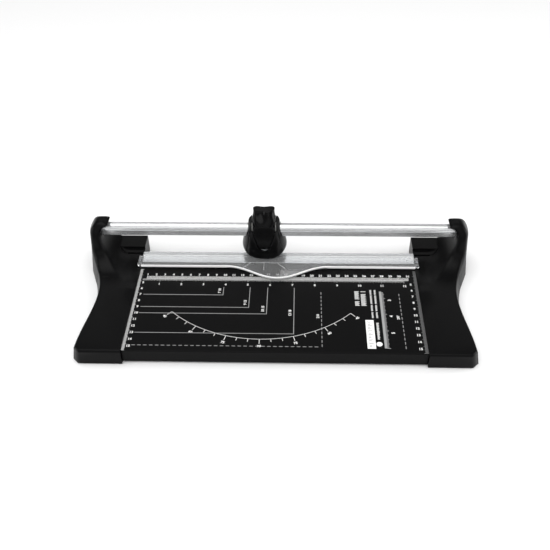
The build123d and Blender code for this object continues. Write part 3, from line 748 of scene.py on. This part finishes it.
@dataclass
class AnglePrint:
    """Angle scale: an arc with ticks, numbers and a mark at its centre."""

    table: TableFrame
    across: float = 144.0 * MM
    radius: float = 138.0 * MM
    reach: float = math.radians(45.0)
    line: float = 0.5 * MM
    mark: float = 1.0 * MM          # thickness of the mark at the centre

    def build(self, arc: bpy.types.NodeTree, row: bpy.types.NodeTree, white: Gatherer, grey: Gatherer) -> None:
        """Adds the scale.

        Args:
            arc: tree of ticks round an arc.
            row: tree of a straight row, used here for the dashes of the centre mark.
            white: gatherer of white ink.
            grey: gatherer of grey ink; not used.
        """
        centre = self.table.at(self.across, 0.0)
        steps = 90
        share = 2 * self.reach / steps
        curve = grown(arc, Count=steps, Radius=self.radius, Start=-self.reach + share / 2, Turn=share,
                      Width=1.05 * self.radius * share, Short=self.line, Long=self.line, Ink=white.material)
        white.add(curve, centre)
        ticks = grown(arc, Count=19, Radius=self.radius, Start=-self.reach, Turn=math.radians(5.0),
                      Width=0.6 * MM, Short=4.6 * MM, Long=7.0 * MM, Long_Every=3.0, Ink=white.material)
        white.add(ticks, centre)
        for number, side in ((45, -45), (60, -30), (75, -15), (90, 0), (75, 15), (60, 30), (45, 45)):
            angle = math.radians(side)
            out = self.radius + 10.4 * MM
            place = Matrix.Translation((out * math.sin(angle), -out * math.cos(angle), 0.0))
            white.add(digits(str(number), 3.0 * MM), centre @ place @ Matrix.Rotation(angle, 4, "Z"))
        for angle in (-45.0, 0.0, 45.0):
            turn = Matrix.Rotation(math.radians(angle - 90.0), 4, "Z")
            start = 17.0 * MM / math.cos(math.radians(angle))
            dashes = grown(row, Count=4, Step=3.2 * MM, Width=2.2 * MM, Short=self.mark, Middle=self.mark,
                           Long=self.mark, Ink=white.material)
            white.add(dashes, centre @ turn @ Matrix.Translation((start, -self.mark / 2, 0.0)))


@dataclass
class NoticePrint:
    """Right-hand block: lines that stand for the maker's text, a blank label and a short inch scale."""

    table: TableFrame
    title: tuple[tuple[float, float], ...] = ((247.5 * MM, 252.5 * MM), (254.4 * MM, 260.0 * MM))
    notes: tuple[float, ...] = (264.6 * MM, 269.4 * MM)
    label: tuple[float, float, float, float] = (257.2 * MM, 266.0 * MM, 107.8 * MM, 150.2 * MM)
    scale_across: float = 275.0 * MM
    scale_start: float = 62.0 * MM
    scale_end: float = 149.5 * MM
    words: tuple[tuple[float, ...], ...] = ((62.0, 76.0, 78.5, 86.0), (62.0, 64.5, 66.5, 86.0))
    phrases: tuple[tuple[float, float], ...] = ((60.0, 68.0), (69.0, 83.5), (84.5, 95.0), (96.2, 105.5))
    disc: float = 3.2 * MM          # radius of the round mark

    def build(self, row: bpy.types.NodeTree, white: Gatherer, grey: Gatherer) -> None:
        """Adds the block.

        Args:
            row: tree of a straight row.
            white: gatherer of white ink.
            grey: gatherer of grey ink.
        """
        at = self.table.at
        for (low, high), word_ends in zip(self.title, self.words):
            for start, end in zip(word_ends[::2], word_ends[1::2]):
                strokes = int((end - start) / 1.5)
                word = grown(row, Count=strokes, Step=1.5 * MM, Width=0.8 * MM, Short=0.8 * (high - low),
                             Middle=high - low, Long=high - low, Middle_Every=2.0, Ink=white.material)
                place = Matrix.Translation((0.5 * MM, low - high, 0.0))
                white.add(word, at(high, start * MM, RIGHT) @ place)
        for low in self.notes:
            for start, end in self.phrases:
                strokes = grown(row, Count=int(end - start), Step=MM, Width=0.6 * MM, Short=1.5 * MM,
                                Middle=2.1 * MM, Long=2.1 * MM, Middle_Every=2.0, Ink=white.material)
                white.add(strokes, at(low, start * MM, RIGHT))
        stamp = grown(row, Count=18, Step=1.4 * MM, Width=0.9 * MM, Short=2.2 * MM, Middle=2.8 * MM,
                      Long=2.8 * MM, Middle_Every=3.0, Ink=white.material)
        white.add(stamp, at(268.6 * MM, 112.5 * MM, RIGHT))
        low, _, start, end = self.label
        words = grown(row, Count=int((end - start) / (2.2 * MM)) - 1, Step=2.2 * MM, Width=0.9 * MM,
                      Short=3.0 * MM, Middle=4.6 * MM, Long=1.0 * MM, Middle_Every=3.0, Long_Every=7.0,
                      Ink=grey.material)
        above = Matrix.Translation((2.2 * MM, 2.0 * MM, PRINT_THICK))
        grey.add(words, at(low, start, RIGHT) @ above)
        self.short_scale(row, white, grey)

    def short_scale(self, row: bpy.types.NodeTree, white: Gatherer, grey: Gatherer) -> None:
        """Adds the inch scale beside the label, and its numbers.

        Args:
            row: tree of a straight row.
            white: gatherer of white ink.
            grey: gatherer of grey ink.
        """
        at = self.table.at
        length = self.scale_end - self.scale_start
        grey.bar((0.0, -length), (2.6 * MM, 0.0), at(self.scale_across, self.scale_start))
        steps = 16
        ticks = grown(row, Count=int(length / INCH * steps), Step=INCH / steps, Width=0.75 * MM,
                      Short=2.0 * MM, Middle=2.7 * MM, Long=3.6 * MM, Middle_Every=4.0,
                      Long_Every=float(steps), Ink=grey.material)
        place = at(self.scale_across + 2.6 * MM, self.scale_end, LEFT)
        grey.add(ticks, place @ Matrix.Rotation(math.pi, 4, "X") @ Matrix.Translation((0.0, 0.0, -PRINT_THICK)))
        for number in (3, 4, 5):
            white.add(digits(str(number), 3.4 * MM), at(285.8 * MM, number * INCH, LEFT))

    def build_label(self, paper: Gatherer) -> None:
        """Adds the blank label and the round mark.

        Args:
            paper: gatherer of the label's paper.
        """
        low, high, start, end = self.label
        paper.bar((0.0, start - end), (high - low, 0.0), self.table.at(low, start))
        disc = bpy.data.meshes.new("disc")
        bm = bmesh.new()
        bmesh.ops.create_cone(bm, cap_ends=True, segments=32, radius1=self.disc, radius2=self.disc,
                              depth=PRINT_THICK)
        bm.to_mesh(disc)
        bm.free()
        lift = Matrix.Translation((0.0, 0.0, PRINT_THICK / 2))
        paper.add(disc, self.table.at(269.8 * MM, 143.6 * MM) @ lift)


@dataclass
class PrintedTable:
    """Everything printed on the table, as three pieces of ink and paper."""

    effects: Effects
    strip_gap: float = 0.4 * MM     # the strip's back edge stands this far in front of the cut line

    def table_frame(self) -> TableFrame:
        """Measures the table from the CAD pieces.

        Returns:
            The frame that the print is measured in.
        """
        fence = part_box("cap_cover_left")[1].x
        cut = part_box("hold_down_strip")[1].y + self.strip_gap
        return TableFrame(fence, cut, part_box("base_board")[1].z)

    def build(self) -> None:
        """Builds the print."""
        table = self.table_frame()
        row, arc = tick_row_tree(), tick_arc_tree()
        white = Gatherer("table_print_white", WHITE_INK.material(self.effects))
        grey = Gatherer("table_print_grey", GREY_INK.material(self.effects))
        paper = Gatherer("table_label", LABEL_PAPER.material(self.effects))
        RulerPrint(table).build(row, white, grey)
        FormatPrint(table).build(row, white, grey)
        AnglePrint(table).build(arc, row, white, grey)
        notice = NoticePrint(table)
        notice.build(row, white, grey)
        notice.build_label(paper)
        for gathered in (white, grey, paper):
            gathered.finish(Body.ROOT)


# ---- strip edge, painted highlight -------------------------------------------------------------
@dataclass
class StripEdge:
    """White piece on the front edge of the clear strip: a painted highlight for the light that its polished
    edge catches.
    """

    effects: Effects
    proud: float = 0.04 * MM
    facing: float = 0.4             # least forward part of a front face's normal
    wave: float = 20.0 * MM         # the front edge lies at least this far before the back one
    tab: float = 4.5 * MM           # length of each end that carries a tab

    def build(self) -> bpy.types.Object:
        """Builds the painted highlight from the front faces of the strip.

        Returns:
            The piece.
        """
        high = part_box("hold_down_strip")[1]
        bm = merged(frame["nodes"]["hold_down_strip"].data)
        back = high.y - self.wave
        ends = high.x - self.tab
        unused = [f for f in bm.faces
                  if f.normal.y > -self.facing or f.calc_center_median().y > back
                  or abs(f.calc_center_median().x) > ends]
        bmesh.ops.delete(bm, geom=unused, context="FACES")
        bmesh.ops.solidify(bm, geom=bm.faces, thickness=-self.proud)
        bmesh.ops.recalc_face_normals(bm, faces=bm.faces)
        gathered = Gatherer("strip_front_edge_painted_highlight", STRIP_EDGE_PAINTED_HIGHLIGHT.material(self.effects), bm)
        piece = gathered.finish(Body.STRIP)
        return piece


# ---- cap columns -------------------------------------------------------------------------------
@dataclass
class SoftColumn:
    """Cap cover whose column runs softly into the flat top and the outer rim, as moulded plastic does."""

    effects: Effects
    side: str
    cut: float = 20.3 * MM          # the cover is untouched below this height
    full: float = 27.0 * MM         # and softened fully above this one
    voxel: float = 0.75 * MM
    passes: int = 60
    pull: float = 0.5               # how far one pass moves a point towards its neighbours
    crease: float = math.radians(35.0)

    def build(self, material: bpy.types.Material) -> bpy.types.Object:
        """Builds the cover that stands for the CAD one.

        Args:
            material: finish of the caps.

        Returns:
            The piece.
        """
        node = f"cap_cover_{self.side}"
        lower = merged(frame["nodes"][node].data)
        upper = self.softened(lower)
        whole = Gatherer(f"{node}_shell", material)
        for part, keep_above in ((lower, False), (upper, True)):
            self.cut_off(part, keep_above)
            mesh = bpy.data.meshes.new("part")
            part.to_mesh(mesh)
            part.free()
            whole.add(mesh, Matrix.Identity(4))
        piece = whole.finish(Body.ROOT)
        piece.data.polygons.foreach_set("use_smooth", [True] * len(piece.data.polygons))
        piece.data.set_sharp_from_angle(angle=self.crease)
        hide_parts(node)
        return piece

    def softened(self, source: bmesh.types.BMesh) -> bmesh.types.BMesh:
        """Evenly meshed copy, smoothed more and more above the cut.

        Args:
            source: the joined cover.

        Returns:
            The smoothed copy.
        """
        mesh = bpy.data.meshes.new("even")
        source.to_mesh(mesh)
        holder = bpy.data.objects.new("even", mesh)
        bpy.context.scene.collection.objects.link(holder)
        remesh = holder.modifiers.new("even", "REMESH")
        remesh.mode = "VOXEL"
        remesh.voxel_size = self.voxel
        graph = bpy.context.evaluated_depsgraph_get()
        even = bpy.data.meshes.new_from_object(holder.evaluated_get(graph))
        bpy.data.objects.remove(holder)
        bm = bmesh.new()
        bm.from_mesh(even)
        bpy.data.meshes.remove(even)
        rise = self.full - self.cut
        share = {v: min(1.0, max(0.0, (v.co.z - self.cut) / rise)) for v in bm.verts}
        moving = [v for v in bm.verts if share[v] > 0.0]
        for _ in range(self.passes):
            targets = [sum((e.other_vert(v).co for e in v.link_edges), Vector()) / len(v.link_edges)
                       for v in moving]
            for v, target in zip(moving, targets):
                v.co = v.co.lerp(target, self.pull * share[v])
        return bm

    def cut_off(self, bm: bmesh.types.BMesh, keep_above: bool) -> None:
        """Cuts a mesh level at the cut height and closes it.

        Args:
            bm: the mesh.
            keep_above: True to keep the upper part.
        """
        geometry = [*bm.verts, *bm.edges, *bm.faces]
        bmesh.ops.bisect_plane(bm, geom=geometry, plane_co=(0.0, 0.0, self.cut), plane_no=(0.0, 0.0, 1.0),
                               clear_outer=not keep_above, clear_inner=keep_above)
        rim = [e for e in bm.edges if e.is_boundary]
        bmesh.ops.holes_fill(bm, edges=rim, sides=0)


# ---- CAD pieces --------------------------------------------------------------------------------
@dataclass
class CadDresser:
    """Gives every CAD piece the finish of its material slot."""

    effects: Effects

    def dress(self) -> None:
        """Assigns the finishes, and builds the softened cap covers."""
        made = {slot.value: finish.material(self.effects) for slot, finish in SLOT_FINISHES.items()}
        for part in frame["record"]["subparts"]:
            material = made[part["material_slot"]]
            mesh = frame["nodes"][part["node"]].data
            mesh.materials.clear()
            mesh.materials.append(material)
            LOG.info("piece %s: %s", part["node"], material.name)
        for side in ("left", "right"):
            SoftColumn(self.effects, side).build(made[Slot.CAP.value])


# ---- studio ------------------------------------------------------------------------------------
@dataclass(frozen=True)
class SoftBox:
    """One rectangular studio light that looks at the trimmer."""

    name: str
    place: tuple[float, float, float]
    size: tuple[float, float]
    power: float


@dataclass
class Studio:
    """Pale floor, soft lights and the camera."""

    floor_half: float = 6.0
    floor_tone: float = 0.84
    sky: float = 0.7
    mirrored_sky: float = 0.12      # strength of the surroundings as glossy surfaces mirror them
    target: tuple[float, float, float] = (0.0, 0.0, 0.03)
    boxes: tuple[SoftBox, ...] = (
        SoftBox("overhead_light", (-0.2, -0.25, 1.6), (1.8, 1.2), 15.0),
        SoftBox("back_light", (0.0, 1.5, 1.3), (2.2, 0.3), 3.2),
        SoftBox("right_light", (1.3, 0.0, 0.35), (0.8, 0.7), 9.0),
        SoftBox("front_light", (0.0, -1.4, 0.9), (2.4, 0.8), 5.0),
        SoftBox("left_light", (-1.3, -0.2, 0.35), (0.7, 0.6), 5.0),
    )
    camera_place: tuple[float, float, float] = (0.02517, -0.62922, 0.59222)
    camera_down: float = 41.06
    camera_turn: float = -2.407
    camera_roll: float = -1.087
    lens: float = 49.49

    def build(self) -> None:
        """Builds the studio."""
        self.build_floor()
        self.build_lights()
        self.build_camera()
        view = bpy.context.scene.view_settings
        view.view_transform = "Standard"
        view.look = "None"

    def build_floor(self) -> None:
        """Builds the plain floor just under the feet."""
        half = self.floor_half
        mesh = bpy.data.meshes.new("studio_floor")
        corners = [(-half, -half, 0.0), (half, -half, 0.0), (half, half, 0.0), (-half, half, 0.0)]
        mesh.from_pydata(corners, [], [(0, 1, 2, 3)])
        material = bpy.data.materials.new("pale_floor")
        material.use_nodes = True
        shader = material.node_tree.nodes["Principled BSDF"]
        shader.inputs["Base Color"].default_value = (self.floor_tone,) * 3 + (1.0,)
        shader.inputs["Roughness"].default_value = 0.9
        shader.inputs["Specular IOR Level"].default_value = 0.1
        mesh.materials.append(material)
        floor = bpy.data.objects.new("studio_floor", mesh)
        bpy.context.scene.collection.objects.link(floor)

    def build_lights(self) -> None:
        """Builds the soft boxes and the pale surroundings."""
        for box in self.boxes:
            light = bpy.data.lights.new(box.name, "AREA")
            light.shape = "RECTANGLE"
            light.size, light.size_y = box.size
            light.energy = box.power
            holder = bpy.data.objects.new(box.name, light)
            holder.location = box.place
            aim = Vector(self.target) - Vector(box.place)
            holder.rotation_euler = aim.to_track_quat("-Z", "Y").to_euler()
            bpy.context.scene.collection.objects.link(holder)
        world = bpy.data.worlds.new("studio_air")
        world.use_nodes = True
        sky = world.node_tree.nodes["Background"]
        sky.inputs["Color"].default_value = (1.0, 1.0, 1.0, 1.0)
        tree = world.node_tree
        rays = tree.nodes.new("ShaderNodeLightPath")
        strength = tree.nodes.new("ShaderNodeMapRange")
        strength.inputs["To Min"].default_value = self.sky
        strength.inputs["To Max"].default_value = self.mirrored_sky
        tree.links.new(rays.outputs["Is Glossy Ray"], strength.inputs["Value"])
        tree.links.new(strength.outputs["Result"], sky.inputs["Strength"])
        bpy.context.scene.world = world

    def build_camera(self) -> None:
        """Places the camera in front of and above the trimmer."""
        data = bpy.data.cameras.new("camera")
        data.lens = self.lens
        data.clip_start = 0.01
        camera = bpy.data.objects.new("camera", data)
        down, turn, roll = (math.radians(a) for a in (self.camera_down, self.camera_turn, self.camera_roll))
        ahead = Vector((math.sin(turn) * math.cos(down), math.cos(turn) * math.cos(down), -math.sin(down)))
        right = Vector((math.cos(turn), -math.sin(turn), 0.0))
        up = right.cross(ahead)
        rolled_right = right * math.cos(roll) + up * math.sin(roll)
        rolled_up = up * math.cos(roll) - right * math.sin(roll)
        turned = Matrix((rolled_right, rolled_up, -ahead)).transposed().to_4x4()
        camera.matrix_world = Matrix.Translation(self.camera_place) @ turned
        bpy.context.scene.collection.objects.link(camera)
        bpy.context.scene.camera = camera


def main() -> None:
    """Builds the whole scene in order."""
    logging.basicConfig(level=logging.INFO, format="%(message)s")
    effects = Effects(grain_group(), edge_group(), dust_group())
    CadDresser(effects).dress()
    PrintedTable(effects).build()
    StripEdge(effects).build()
    Studio().build()


if __name__ == "__main__":
    main()
